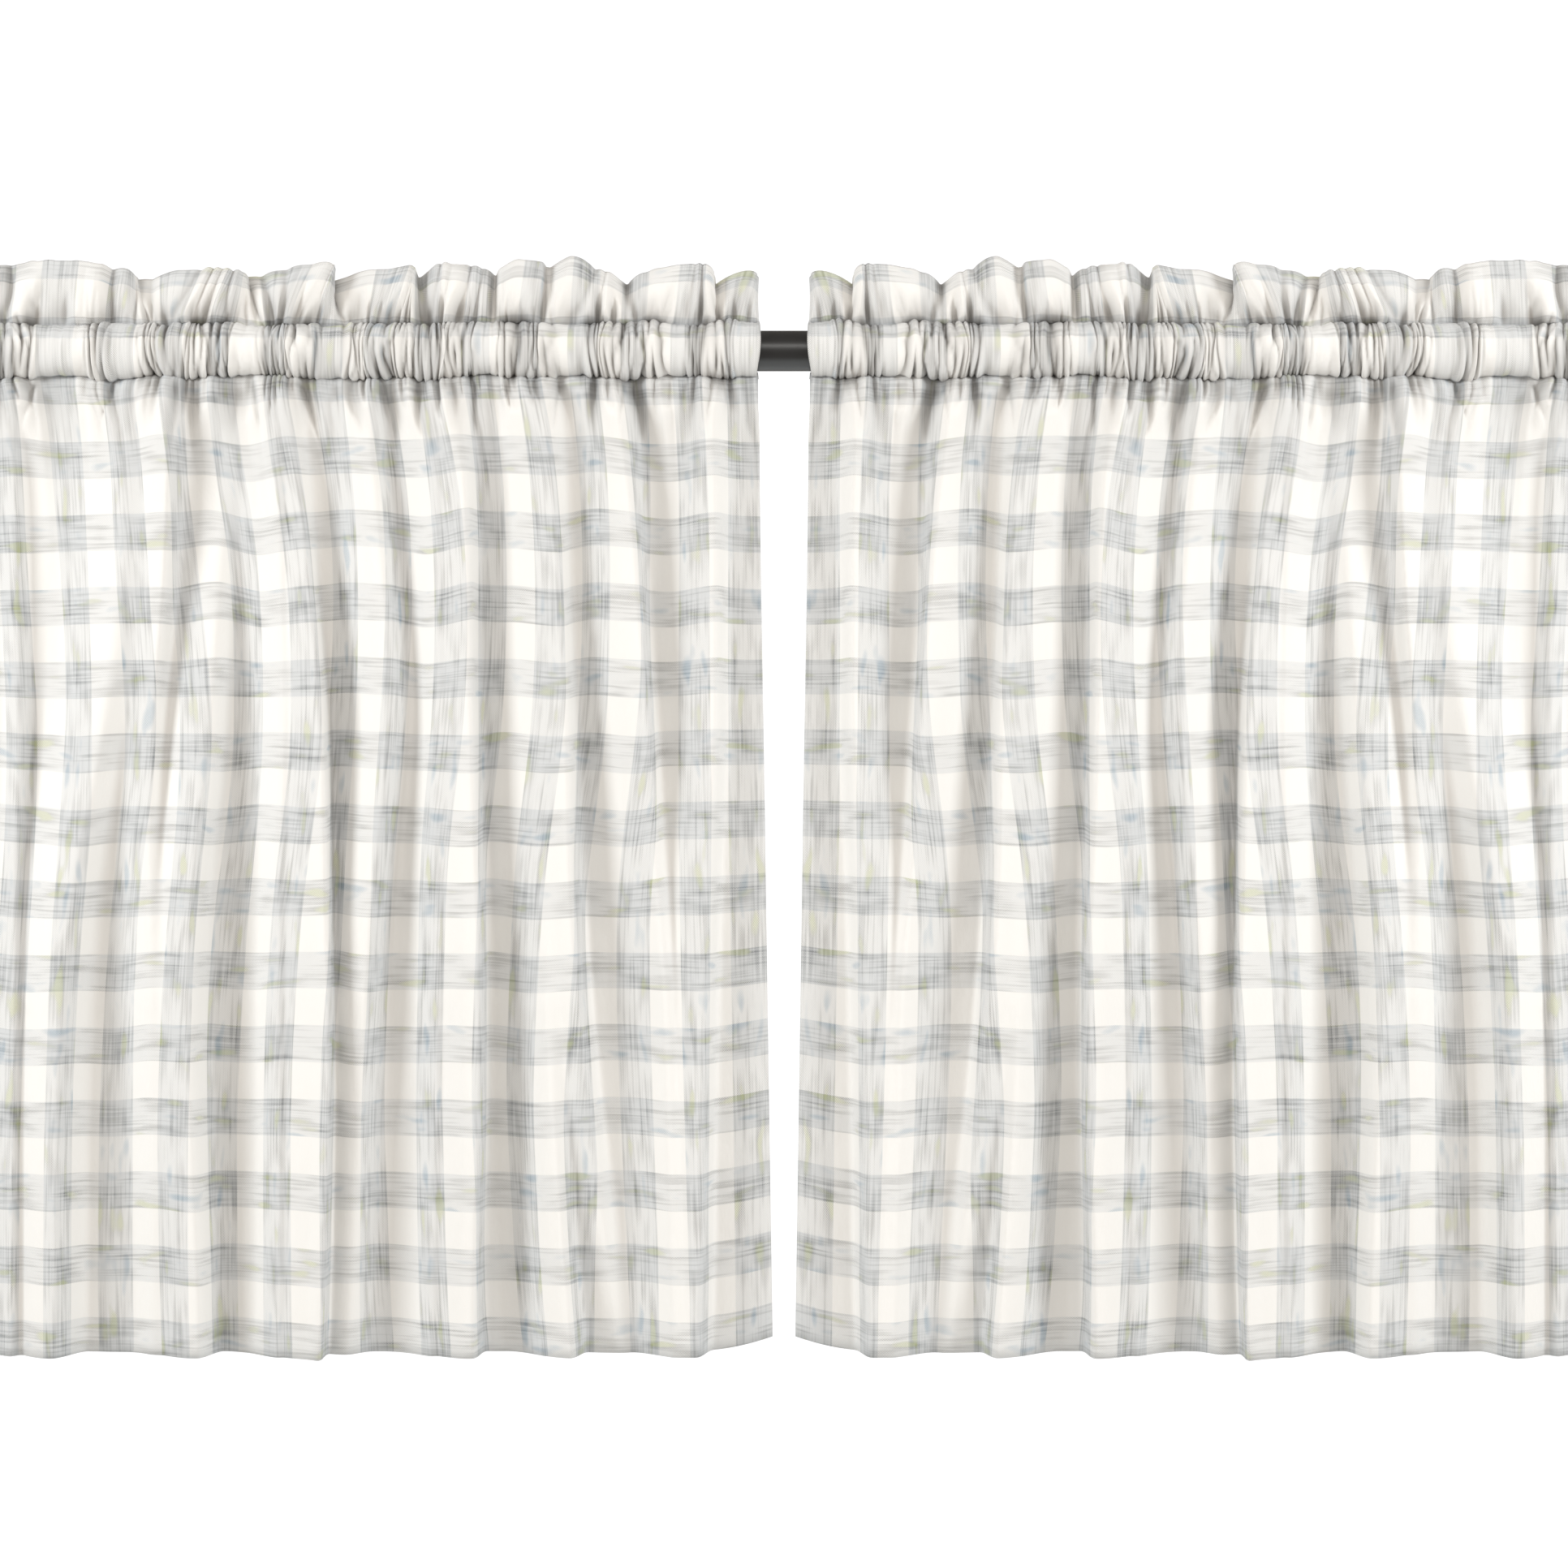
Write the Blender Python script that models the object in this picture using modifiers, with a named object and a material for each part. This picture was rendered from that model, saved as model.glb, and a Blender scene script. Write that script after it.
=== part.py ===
"""Pair of cafe curtains, gathered on a plain round rod.

Metres, +Z up. The rod lies along X and the origin is the centre of its left end face. The curtains
face -Y. Each curtain is one cut length of cotton: its top is folded to the back and stitched twice,
so that a ruffled heading stands above a rod pocket, and the drop hangs below in uneven folds.
The second curtain is the first one mirrored.
"""
import math

import bmesh
import bpy
import numpy as np

MM = 0.001

# Rod
ROD_DIAMETER = 0.028
ROD_LENGTH = 1.430
ROD_SIDES = 48
ROD_EDGE_BEVEL = 0.0012

# Curtain, as it hangs
GATHERED_WIDTH = 0.653
GAP_AT_ROD = 0.036
FLARE_AT_HEM = 0.010
DROP_THICKNESS = 0.0016
HEM_THICKNESS = 0.0024
HEM_DEPTH = 0.026
LAYER_THICKNESS = 0.0011
HEADING_GAP = 0.0012

# Heights, from the axis of the rod
UPPER_SEAM = 0.0161
LOWER_SEAM = -0.0161
SEAM_HALF_DEPTH = 0.0013
SEAM_HALF_HEIGHT = 0.0006
HEM_LEVEL = -0.6955
HEM_DIP_ON_RIDGE = 0.15
HEM_CORNER_LIFT = 0.006
HEM_CORNER_REACH = 0.040

# Rod pocket: the cloth lies on the rod with this clearance
POCKET_CLEARANCE = 0.0003
POCKET_ANGLES = (22.0, 56.0, 90.0, 124.0, 158.0)
POCKET_CUSP = 0.0154

# Gathers: forward and back from one station to the next
GATHER_BULGE = 0.0042
GATHER_AT_SEAM = 0.0016
GATHER_IN_DROP = 0.0030
GATHER_FADE = 0.030
GATHER_UNEVEN = 0.4
GATHER_UNEVEN_TURN = 1.9
BUNCHED_EXTRA = 0.75
SMOOTH_EASING = 0.85
TIGHTNESS_EDGE = 0.007

# Folds grow out of the gathers below the seam
FOLD_GROWTH = 0.034
SPREAD_FADE = 0.050

# Stations on each fold: on its steep side, and on a wide or a narrow gentle side
STEEP_STEPS = 2
WIDE_STEPS = 3
NARROW_STEPS = 2
WIDE_RISE = 50
CREASE_FALL = 8

# Rows of the drop, between the lower seam and the hem
DROP_ROWS = (-0.036, -0.075, -0.160, -0.265, -0.375, -0.490, -0.600)
HEADING_ROWS = (0.42, 0.86)

# Heights at which the folds of the drop are laid out
FOLD_LEVELS = (-0.072, -0.235, -0.432, -0.692)

# One row for each fold of the drop, in millimetres. The first four columns are how far the steep
# side lies from the leading edge at each of FOLD_LEVELS, the next four its depth there. Fall is the
# width of the steep side, rise that of the gentle side, and lean how far the ridge tips over.
FOLDS = (
    # x1   x2   x3   x4    d1  d2  d3  d4   fall rise lean
    (24,   26,  33,  38,   22, 22, 24, 29,  16,  44,  0.10),
    (86,   77,  64,  57,   26, 29, 14,  7,  14,  56,  0.15),
    (137, 132, 124,  92,   26, 30, 28,  5,  16,  64,  0.15),
    (160, 157, 147, 126,    0,  0,  4, 27,  14,  44,  0.10),
    (198, 199, 193, 196,   29, 31, 34, 31,  15,  58,  0.20),
    (222, 223, 225, 228,    5,  4,  5,  4,   6,  18,  0.00),
    (259, 250, 265, 279,   19, 29, 26, 14,  20,  38,  0.10),
    (317, 304, 300, 306,   17, 29, 34, 36,  14,  62,  0.25),
    (333, 332, 335, 337,    5,  4,  6,  4,   6,  20,  0.00),
    (364, 372, 389, 382,    5, 23, 30, 31,  18,  52,  0.10),
    (401, 415, 421, 419,   29, 24,  8,  5,  14,  44,  0.15),
    (434, 445, 472, 479,   12, 24, 29, 31,  22,  46,  0.05),
    (513, 511, 515, 516,   10, 10, 12, 14,  10,  34,  0.05),
    (556, 560, 566, 570,   24, 26, 29, 30,  18,  44,  0.10),
    (606, 609, 612, 616,   22, 24, 26, 26,  18,  42,  0.10),
)
FOLD_FIELDS = ("x1", "x2", "x3", "x4", "d1", "d2", "d3", "d4", "fall", "rise", "lean")

# One row for each wave of the heading's top edge, in millimetres: distance from the leading edge,
# height above the rod's axis, and how far it stands forward of the seam.
HEADING_WAVES = (
    # at  height forward
    (0,    48.5,  -2),
    (15,   54.5,  10),
    (27,   46.5, -10),
    (38,   59.5,  10),
    (62,   58.0,   5),
    (77,   54.5,   0),
    (92,   47.0, -12),
    (112,  56.5,   4),
    (132,  64.0,  12),
    (143,  59.5,  -5),
    (166,  62.0,  10),
    (184,  53.5,  -9),
    (195,  58.5,   5),
    (221,  60.5,   9),
    (232,  51.5, -10),
    (250,  58.5,  10),
    (269,  56.0,   2),
    (288,  48.5, -12),
    (311,  60.5,  12),
    (345,  52.5,  -9),
    (388,  57.0,  10),
    (424,  50.5, -10),
    (450,  58.0,   4),
    (490,  61.5,  12),
    (520,  60.0,  -7),
    (549,  59.0,  10),
    (573,  50.0, -10),
    (598,  58.0,  10),
    (622,  51.0,  -9),
    (640,  57.0,   9),
    (653,  50.0,   0),
)

# Stretches of the pocket that lie smooth on the rod, in millimetres from the leading edge
SMOOTH_STRETCHES = (
    # from  to
    (0,     17),
    (48,    65),
    (121,   138),
    (180,   194),
    (287,   301),
    (344,   361),
    (462,   500),
    (636,   653),
)

COTTON = {"color": (0.84, 0.83, 0.79, 1.0), "roughness": 0.92, "metallic": 0.0}
BLACK_METAL = {"color": (0.012, 0.012, 0.013, 1.0), "roughness": 0.38, "metallic": 0.7}

POCKET_SAMPLES = 1200


def clear_scene():
    for obj in list(bpy.data.objects):
        bpy.data.objects.remove(obj, do_unlink=True)


def make_material(name, look):
    material = bpy.data.materials.new(name)
    material.use_nodes = True
    shader = material.node_tree.nodes["Principled BSDF"]
    shader.inputs["Base Color"].default_value = look["color"]
    shader.inputs["Roughness"].default_value = look["roughness"]
    shader.inputs["Metallic"].default_value = look["metallic"]
    return material


def curve_through(levels, values, at):
    """Smooth curve through a few values, laid out from the highest level to the lowest."""
    spots = -np.array(levels)
    where = np.clip(-at, spots[0], spots[-1])
    slopes = np.gradient(np.array(values, float), spots)
    i = int(np.clip(np.searchsorted(spots, where) - 1, 0, len(spots) - 2))
    step = spots[i + 1] - spots[i]
    t = (where - spots[i]) / step
    rise = values[i + 1] - values[i]
    steady = values[i] + rise * (3 * t ** 2 - 2 * t ** 3)
    return steady + step * (slopes[i] * t * (1 - t) ** 2 - slopes[i + 1] * t ** 2 * (1 - t))


def fold_bump(at, centre, fall, rise):
    """1 on the ridge and 0 in the valleys: steep towards the leading edge, gentle behind it."""
    from_ridge = at - (centre + fall / 2)
    turn = np.where(from_ridge < 0, from_ridge / fall, from_ridge / rise)
    return np.where(np.abs(turn) < 1, 0.5 + 0.5 * np.cos(math.pi * turn), 0.0)


def tightness(at):
    """How tightly the cloth is gathered on the rod: 1 in the bunches, near 0 where it lies smooth."""
    loose = np.zeros_like(at)
    for start, end in SMOOTH_STRETCHES:
        inside = np.minimum(at - start * MM, end * MM - at) / TIGHTNESS_EDGE + 0.5
        loose = np.maximum(loose, np.clip(inside, 0, 1))
    return 1 - loose * SMOOTH_EASING


def fold_places(level):
    """Each fold at one height: its place, depth, and widths, in metres."""
    for row in FOLDS:
        fold = dict(zip(FOLD_FIELDS, row))
        centre = curve_through(FOLD_LEVELS, [fold[key] for key in ("x1", "x2", "x3", "x4")], level)
        depth = curve_through(FOLD_LEVELS, [fold[key] for key in ("d1", "d2", "d3", "d4")], level)
        yield centre * MM, max(depth, 0.0) * MM, fold


def stations(level):
    """Distance of each station from the leading edge: every fold keeps its own stations."""
    flare = FLARE_AT_HEM * (LOWER_SEAM - level) / (LOWER_SEAM - HEM_LEVEL)
    at = [-flare]
    gap_steps = NARROW_STEPS
    for centre, _, fold in fold_places(level):
        half = fold["fall"] * MM / 2
        steep_steps = STEEP_STEPS if fold["fall"] > CREASE_FALL else 1
        at.extend(np.linspace(at[-1], centre - half, gap_steps + 1)[1:])
        at.extend(np.linspace(centre - half, centre + half, steep_steps + 1)[1:])
        gap_steps = WIDE_STEPS if fold["rise"] > WIDE_RISE else NARROW_STEPS
    at.extend(np.linspace(at[-1], GATHERED_WIDTH + flare, gap_steps + 1)[1:])
    return np.array(at)


def folded(level):
    """Distance from the leading edge and distance forward of each station, in full folds."""
    at = stations(level)
    forward = np.zeros_like(at)
    lean = np.zeros_like(at)
    for centre, depth, fold in fold_places(level):
        bump = depth * fold_bump(at, centre, fold["fall"] * MM, fold["rise"] * MM)
        forward += bump
        lean += bump * fold["lean"]
    return at - lean, forward - (forward.max() + forward.min()) / 2


def cloth_shares():
    """How far across the flat cloth each station lies, from 0 to 1, over all heights."""
    shares = []
    for level in FOLD_LEVELS:
        along, forward = folded(level)
        length = np.concatenate(([0.0], np.cumsum(np.hypot(np.diff(along), np.diff(forward)))))
        shares.append(length / length[-1])
    return np.mean(shares, axis=0)


def pocket_positions(shares):
    """Distance from the leading edge, on the rod, of each share of the cloth's width."""
    at = np.linspace(0, GATHERED_WIDTH, POCKET_SAMPLES)
    fullness = 1.0 + BUNCHED_EXTRA * tightness(at)
    taken = np.concatenate(([0.0], np.cumsum((fullness[1:] + fullness[:-1]) / 2)))
    return np.interp(shares, taken / taken[-1], at)


def drop_row(level, on_rod):
    """Distance from the leading edge and distance forward of each station, at one height."""
    along, forward = folded(level)
    below_seam = LOWER_SEAM - level
    along = along + (on_rod - along) * math.exp(-below_seam / SPREAD_FADE)
    return along, forward * (1 - math.exp(-below_seam / FOLD_GROWTH))


def gather_pattern(on_rod):
    """Forward and back from station to station, stronger in the bunches."""
    count = np.arange(len(on_rod))
    uneven = 1 - GATHER_UNEVEN * (0.5 + 0.5 * np.sin(count * GATHER_UNEVEN_TURN))
    return np.where(count % 2 == 0, 1.0, -1.0) * uneven * tightness(on_rod)


def offset_sides(along, forward, thickness):
    """Front and back of a row, half the thickness to each side of its middle line."""
    slope_x = np.gradient(along)
    slope_y = np.gradient(forward)
    size = np.hypot(slope_x, slope_y)
    shift_x = -slope_y / size * thickness / 2
    shift_y = slope_x / size * thickness / 2
    return (along + shift_x, forward + shift_y), (along - shift_x, forward - shift_y)


def lay(along, forward, height, side):
    """Points of one row in the curtain's place: side is -1 for the left curtain, 1 for the right."""
    x = ROD_LENGTH / 2 + side * (GAP_AT_ROD / 2 + along)
    height = np.broadcast_to(height, along.shape)
    return np.stack([x, -np.broadcast_to(forward, along.shape), height], axis=1)


def hem_height(along, forward):
    """The hem dips a little on the ridges and lifts at the leading corner."""
    corner = np.clip(1 - (along + FLARE_AT_HEM) / HEM_CORNER_REACH, 0, 1)
    return HEM_LEVEL - HEM_DIP_ON_RIDGE * forward + HEM_CORNER_LIFT * corner ** 2


def drop_rows(on_rod, gathers, side):
    """Front and back rows of the drop, from the row under the seam to the hem."""
    levels = list(DROP_ROWS) + [HEM_LEVEL + HEM_DEPTH, HEM_LEVEL]
    front, back = [], []
    for level in levels:
        along, forward = drop_row(level, on_rod)
        fade = math.exp((level - LOWER_SEAM) / GATHER_FADE)
        forward = forward + gathers * GATHER_IN_DROP * fade
        in_hem = level < DROP_ROWS[-1]
        height = level if level > HEM_LEVEL else hem_height(along, forward)
        sides = offset_sides(along, forward, HEM_THICKNESS if in_hem else DROP_THICKNESS)
        front.append(lay(*sides[0], height, side))
        back.append(lay(*sides[1], height, side))
    return front, back


def pocket_rows(at, gathers, side, face):
    """Outer and inner rows of one layer of the pocket, from the lower seam to the upper one."""
    half_step = math.radians(POCKET_ANGLES[1] - POCKET_ANGLES[0]) / 2
    inner_radius = (ROD_DIAMETER / 2 + POCKET_CLEARANCE) / math.cos(half_step)
    bulge = GATHER_BULGE * (gathers + np.abs(gathers).max()) / 2
    outer, inner = [], []
    for angle in POCKET_ANGLES:
        turn = math.radians(angle)
        full = bulge * math.sin(turn)
        for rows, radius in ((outer, inner_radius + LAYER_THICKNESS), (inner, inner_radius)):
            reach = radius + full
            rows.append(lay(at, face * reach * math.sin(turn), -reach * math.cos(turn), side))
    return outer, inner


def heading_rows(at, gathers, side):
    """Rows of the heading: front, back and top outside, and the narrow gap between its layers."""
    table = np.array(HEADING_WAVES, float) * MM
    top = np.interp(at, table[:, 0], table[:, 1])
    wave = np.interp(at, table[:, 0], table[:, 2])
    rows = {"front": [], "back": [], "gap_front": [], "gap_back": []}
    for share in HEADING_ROWS:
        height = UPPER_SEAM + (top - UPPER_SEAM) * share
        forward = wave * share + gathers * GATHER_AT_SEAM * (1 - share)
        outer = offset_sides(at, forward, HEADING_GAP + 2 * LAYER_THICKNESS)
        inner = offset_sides(at, forward, HEADING_GAP)
        rows["front"].append(lay(*outer[0], height, side))
        rows["back"].append(lay(*outer[1], height, side))
        rows["gap_front"].append(lay(*inner[0], height, side))
        rows["gap_back"].append(lay(*inner[1], height, side))
    rows["top"] = lay(at, wave, top, side)
    rows["gap_top"] = lay(at, wave, top - LAYER_THICKNESS, side)
    return rows


def loft(mesh, rising, falling):
    """Bridge a closed loop of rows, which rise on one face of the cloth and fall on the other.

    Both faces are cut along the same diagonals, so that the cloth between them stays even.
    """
    for row, following in zip(rising, rising[1:] + falling[:1]):
        for i in range(len(row) - 1):
            mesh.faces.new((row[i], row[i + 1], following[i + 1]))
            mesh.faces.new((row[i], following[i + 1], following[i]))
    for row, following in zip(falling, falling[1:] + rising[:1]):
        for i in range(len(row) - 1):
            mesh.faces.new((row[i], row[i + 1], following[i]))
            mesh.faces.new((row[i + 1], following[i + 1], following[i]))


def close_end(mesh, strips, end):
    """Cap the cloth at one side edge: each strip is a pair of lists of rows, outside and inside."""
    for outside, inside in strips:
        for i in range(len(outside) - 1):
            corners = [outside[i][end], outside[i + 1][end], inside[i + 1][end], inside[i][end]]
            unique = list(dict.fromkeys(corners))
            mesh.faces.new(unique)


def curtain_mesh(name, side):
    """One curtain as one closed body: drop, seams, rod pocket and two-layer heading."""
    at = pocket_positions(cloth_shares())
    gathers = gather_pattern(at)
    seam_wave = gathers * GATHER_AT_SEAM
    heading = heading_rows(at, gathers, side)
    drop_front, drop_back = drop_rows(at, gathers, side)
    front_outer, front_inner = pocket_rows(at, gathers, side, 1)
    back_outer, back_inner = pocket_rows(at, gathers, side, -1)

    mesh = bmesh.new()

    def rows(points):
        return [[mesh.verts.new(point) for point in row] for row in points]

    low = LOWER_SEAM - SEAM_HALF_HEIGHT
    high = UPPER_SEAM + SEAM_HALF_HEIGHT
    low_front, low_back = rows([lay(at, seam_wave + SEAM_HALF_DEPTH, low, side),
                                lay(at, seam_wave - SEAM_HALF_DEPTH, low, side)])
    high_front, high_back = rows([lay(at, seam_wave + SEAM_HALF_DEPTH, high, side),
                                  lay(at, seam_wave - SEAM_HALF_DEPTH, high, side)])
    cusp_low, cusp_high, gap_low = rows([lay(at, 0 * at, -POCKET_CUSP, side),
                                         lay(at, 0 * at, POCKET_CUSP, side),
                                         lay(at, seam_wave, high + LAYER_THICKNESS, side)])
    drop_front, drop_back = rows(drop_front), rows(drop_back)
    front_outer, front_inner = rows(front_outer), rows(front_inner)
    back_outer, back_inner = rows(back_outer), rows(back_inner)
    head_front, head_back = rows(heading["front"]), rows(heading["back"])
    gap_front, gap_back = rows(heading["gap_front"]), rows(heading["gap_back"])
    top, gap_top = rows([heading["top"], heading["gap_top"]])

    front = [low_front] + front_outer + [high_front]
    back = [low_back] + back_outer + [high_back]
    loft(mesh, drop_front[::-1] + front + head_front, [top] + head_back[::-1] + back[::-1] + drop_back)
    loft(mesh, [cusp_low] + front_inner, [cusp_high] + back_inner[::-1])
    loft(mesh, [gap_low] + gap_front, [gap_top] + gap_back[::-1])

    strips = [
        ([low_front] + drop_front, [low_back] + drop_back),
        ([low_back, low_front], [cusp_low, cusp_low]),
        (front, [cusp_low] + front_inner + [cusp_high]),
        (back, [cusp_low] + back_inner + [cusp_high]),
        ([high_front, cusp_high], [gap_low, high_back]),
        ([high_front] + head_front + [top], [gap_low] + gap_front + [gap_top]),
        ([high_back] + head_back + [top], [gap_low] + gap_back + [gap_top]),
    ]
    for end in (0, -1):
        close_end(mesh, strips, end)
    bmesh.ops.recalc_face_normals(mesh, faces=mesh.faces)
    data = bpy.data.meshes.new(name)
    mesh.to_mesh(data)
    mesh.free()
    data.shade_smooth()
    return data


def add_curtain(name, side, material, collection):
    curtain = bpy.data.objects.new(name, curtain_mesh(name, side))
    curtain.data.materials.append(material)
    collection.objects.link(curtain)
    return curtain


def add_rod(material, collection):
    """A plain round bar with its end edges eased, along X from the origin."""
    mesh = bmesh.new()
    bmesh.ops.create_cone(mesh, cap_ends=True, segments=ROD_SIDES, radius1=ROD_DIAMETER / 2,
                          radius2=ROD_DIAMETER / 2, depth=ROD_LENGTH)
    data = bpy.data.meshes.new("rod")
    mesh.to_mesh(data)
    mesh.free()
    rod = bpy.data.objects.new("rod", data)
    rod.location = (ROD_LENGTH / 2, 0, 0)
    rod.rotation_euler = (0, math.pi / 2, 0)
    rod.data.materials.append(material)
    collection.objects.link(rod)
    bevel = rod.modifiers.new("eased end edges", "BEVEL")
    bevel.width = ROD_EDGE_BEVEL
    bevel.segments = 2
    bevel.limit_method = "ANGLE"
    bevel.angle_limit = math.radians(60)
    return rod


def main():
    clear_scene()
    collection = bpy.data.collections.new("cafe curtain pair")
    bpy.context.scene.collection.children.link(collection)
    cotton = make_material("gingham cotton", COTTON)
    metal = make_material("black metal", BLACK_METAL)
    add_rod(metal, collection)
    add_curtain("curtain_left", -1, cotton, collection)
    add_curtain("curtain_right", 1, cotton, collection)


main()
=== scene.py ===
"""Pair of cafe curtains, gathered on a plain round rod, in woven gingham cotton.

Each curtain is one flat cut of cloth, laid out in two meshes that meet in the lower seam, then
gathered and hung: the drop falls in folds below the rod pocket, and a ruffled heading stands above
it. Metres, +Z up. The rod lies along X from the origin, and the curtains face -Y.
"""
import math

import bpy
import numpy as np
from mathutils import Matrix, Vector


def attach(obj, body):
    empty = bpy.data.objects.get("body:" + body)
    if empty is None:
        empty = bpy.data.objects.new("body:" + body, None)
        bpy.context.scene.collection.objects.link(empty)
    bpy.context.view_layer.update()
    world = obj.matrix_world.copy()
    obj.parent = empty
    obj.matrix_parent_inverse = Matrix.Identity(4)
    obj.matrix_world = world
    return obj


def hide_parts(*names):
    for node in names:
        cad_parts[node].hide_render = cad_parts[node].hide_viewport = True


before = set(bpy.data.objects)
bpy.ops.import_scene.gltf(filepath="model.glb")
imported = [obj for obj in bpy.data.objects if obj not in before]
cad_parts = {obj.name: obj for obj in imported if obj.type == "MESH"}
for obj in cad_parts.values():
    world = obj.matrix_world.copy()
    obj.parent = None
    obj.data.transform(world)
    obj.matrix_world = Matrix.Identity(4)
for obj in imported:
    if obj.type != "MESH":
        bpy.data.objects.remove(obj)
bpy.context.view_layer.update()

MM = 0.001

# Rod
ROD_RADIUS = 0.014
ROD_LENGTH = 1.430
ROD_SIDES = 128
ROD_RIM = 0.0008
GAP_AT_ROD = 0.036

# Curtain, as it hangs
GATHERED_WIDTH = 0.653
FLARE_AT_HEM = 0.010
UPPER_SEAM = 0.0161
LOWER_SEAM = -0.0161
HEM_LEVEL = -0.6955
HEM_SETTLE = 0.0025
HEM_CORNER_LIFT = 0.0105
HEM_CORNER_REACH = 0.060

# Curtain, as it is cut: one length of cloth, from the hem over the front to the back of the pocket
CLOTH_WIDTH = 0.914
DROP_LENGTH = LOWER_SEAM - HEM_LEVEL
POCKET_LENGTH = 0.049
HEADING_LENGTH = 0.045
CLOTH_THICKNESS = 0.0005
HEM_THICKNESS = 0.0013
BOTTOM_HEM = 0.026
SIDE_HEM = 0.015

# Each cloth is laid out in two meshes that meet in the lower seam: columns, start along the cloth,
# and the rows of faces in each stretch of its length
SEAM_TUCK = 0.001
DROP_GRID = (560, 0.0, (
    # rows length
    (3,  BOTTOM_HEM),
    (57, DROP_LENGTH - BOTTOM_HEM - 0.050),
    (26, 0.050 - 0.0001),
))
HEADER_GRID = (900, DROP_LENGTH, (
    # rows length
    (14, POCKET_LENGTH),
    (14, HEADING_LENGTH - 0.003),
    (2,  0.003),
    (2,  0.003),
    (12, HEADING_LENGTH - 0.003),
    (10, POCKET_LENGTH),
))

# Heights at which the folds of the drop are laid out
FOLD_LEVELS = (-0.072, -0.235, -0.432, -0.692)

# One row for each fold of the drop, in millimetres. The first four columns are how far the steep
# side lies from the leading edge at each of FOLD_LEVELS, the next four its depth there. Fall is the
# width of the steep side, rise that of the gentle side, and lean how far the ridge tips over.
FOLDS = (
    # x1   x2   x3   x4    d1  d2  d3  d4   fall rise lean
    (24,   26,  33,  38,   22, 22, 24, 29,  16,  44,  0.10),
    (86,   77,  64,  57,   26, 29, 14,  7,  14,  56,  0.15),
    (137, 132, 124,  92,   26, 30, 28,  5,  16,  64,  0.15),
    (160, 157, 147, 126,    0,  0,  4, 27,  14,  44,  0.10),
    (198, 199, 193, 196,   29, 31, 34, 31,  15,  58,  0.20),
    (222, 223, 225, 228,    5,  4,  5,  4,   6,  18,  0.00),
    (259, 250, 265, 279,   19, 29, 26, 14,  20,  38,  0.10),
    (317, 304, 300, 306,   17, 29, 34, 36,  14,  62,  0.25),
    (333, 332, 335, 337,    5,  4,  6,  4,   6,  20,  0.00),
    (364, 372, 389, 382,    5, 23, 30, 31,  18,  52,  0.10),
    (401, 415, 421, 419,   29, 24,  8,  5,  14,  44,  0.15),
    (434, 445, 472, 479,   12, 24, 29, 31,  22,  46,  0.05),
    (513, 511, 515, 516,   10, 10, 12, 14,  10,  34,  0.05),
    (556, 560, 566, 570,   24, 26, 29, 30,  18,  44,  0.10),
    (606, 609, 612, 616,   22, 24, 26, 26,  18,  42,  0.10),
)
FOLD_FIELDS = ("x1", "x2", "x3", "x4", "d1", "d2", "d3", "d4", "fall", "rise", "lean")

# How far a fold's ridge wanders, in millimetres
FOLD_WANDER = 1.2

# Small ripples over the folds: how deep, in millimetres, how wide and how tall, in metres, and a seed
DROP_RIPPLES = (
    # deep  wide   tall  seed
    (1.3,   0.019, 0.30, 11),
    (0.5,   0.008, 0.16, 12),
)

# One row for each wave of the heading's top edge, in millimetres: distance from the leading edge,
# height above the rod's axis, and how far it stands forward of the seam.
HEADING_WAVES = (
    # at  height forward
    (0,    48.5,  -2),
    (15,   54.5,  10),
    (27,   46.5, -10),
    (38,   59.5,  10),
    (62,   58.0,   5),
    (77,   54.5,   0),
    (92,   47.0, -12),
    (112,  56.5,   4),
    (132,  64.0,  12),
    (143,  59.5,  -5),
    (166,  62.0,  10),
    (184,  53.5,  -9),
    (195,  58.5,   5),
    (221,  60.5,   9),
    (232,  51.5, -10),
    (250,  58.5,  10),
    (269,  56.0,   2),
    (288,  48.5, -12),
    (311,  60.5,  12),
    (345,  52.5,  -9),
    (388,  57.0,  10),
    (424,  50.5, -10),
    (450,  58.0,   4),
    (490,  61.5,  12),
    (520,  60.0,  -7),
    (549,  59.0,  10),
    (573,  50.0, -10),
    (598,  58.0,  10),
    (622,  51.0,  -9),
    (640,  57.0,   9),
    (653,  50.0,   0),
)
WAVE_LEAN = 0.85
WAVE_EASING = 0.0016
LOBE_ROUNDNESS = 0.85

# Stretches of the pocket that lie smooth on the rod, in millimetres from the leading edge
SMOOTH_STRETCHES = (
    # from  to
    (0,     17),
    (48,    65),
    (121,   138),
    (180,   194),
    (287,   301),
    (344,   361),
    (428,   446),
    (464,   500),
    (636,   653),
)

# Tucks that start in the lower seam, in millimetres: place, length, depth, half width, and how far
# the end lies further from the leading edge than the start
TUCKS = (
    # at  length depth half slant
    (24,   34,   5,   6,   -4),
    (92,   40,   5,   6,    4),
    (137,  46,   6,   6,    5),
    (196,  60,   8,   7,    2),
    (262,  52,   6,   6,  -12),
    (318,  60,   7,   7,  -16),
    (352,  44,   6,   6,   -9),
    (402,  62,  11,   8,    4),
    (446,  36,   5,   6,   10),
    (500,  40,   7,   9,   12),
    (560,  46,   6,   7,   -6),
    (610,  40,   6,   7,    5),
)

# Gathers on the rod
POCKET_CLEARANCE = 0.0004
GATHER_PITCH = 0.0112
GATHER_BULGE = 0.0062
GATHER_AT_SEAM = 0.0012
LOOSE_PUFF = 0.0028
POCKET_SAG = 0.62
BUNCHED_EXTRA = 0.75
SMOOTH_EASING = 0.88
TIGHTNESS_EDGE = 0.006
SEAM_WOBBLE = 0.0013
WOBBLE_FADE = 0.025

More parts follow.
